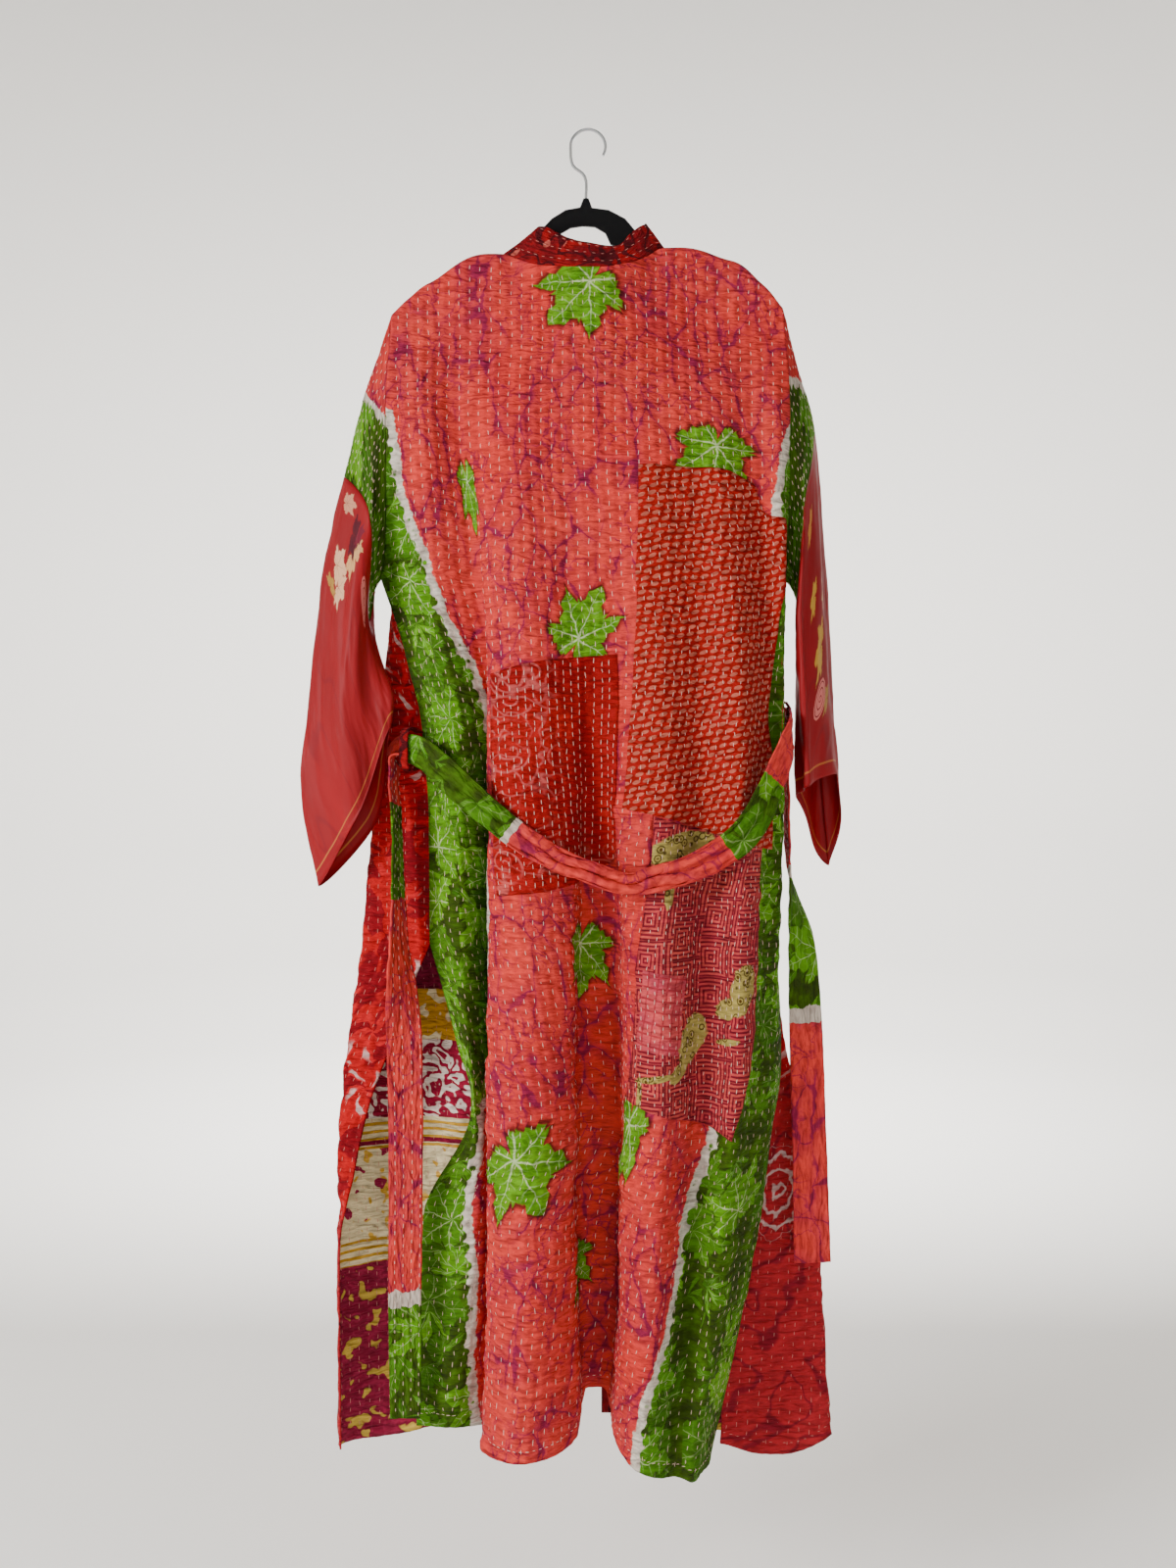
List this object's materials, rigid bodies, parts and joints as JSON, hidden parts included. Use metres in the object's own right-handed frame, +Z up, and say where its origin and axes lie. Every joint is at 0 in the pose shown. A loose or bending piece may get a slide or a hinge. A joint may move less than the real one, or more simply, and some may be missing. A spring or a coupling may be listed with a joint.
{
  "type": "long quilted kimono robe with belt, hung on a slim hanger",
  "caption": "Long hand-quilted kimono robe with patched back, silk sleeve ends, a standing neck band and a loose belt, hung on a slim flocked hanger with a wire hook",
  "frame": {"origin": "the point inside the top of the hanger's hook where a rail or peg carries it", "axes": "+Z up; the back of the robe faces -Y and the open front faces +Y; +X is to the right seen from the back, so it is the wearer's right"},
  "size_m": [0.6277, 0.1602, 1.5363],
  "materials": {
    "coral_cloth": "matt quilted cotton",
    "green_cloth": "matt quilted cotton",
    "deep_red_cloth": "matt cotton",
    "brick_cloth": "matt cotton",
    "rose_cloth": "matt cotton",
    "red_silk": "soft sheen",
    "black_flock": "matt flock",
    "hook_steel": "bright wire"
  },
  "bodies": {
    "root": {"back": "coral_cloth", "front_left": "coral_cloth", "front_right": "coral_cloth", "neck_band": "deep_red_cloth", "sleeve_cap_left": "green_cloth", "sleeve_cap_right": "green_cloth", "sleeve_end_left": "red_silk", "sleeve_end_right": "red_silk", "patch_deep_red": "deep_red_cloth", "patch_brick": "brick_cloth", "patch_coral": "coral_cloth", "patch_rose": "rose_cloth", "belt": "coral_cloth", "belt_loop_left": "coral_cloth", "belt_loop_right": "coral_cloth", "hanger": "black_flock", "hanger_hook": "hook_steel"}
  },
  "joints": []
}
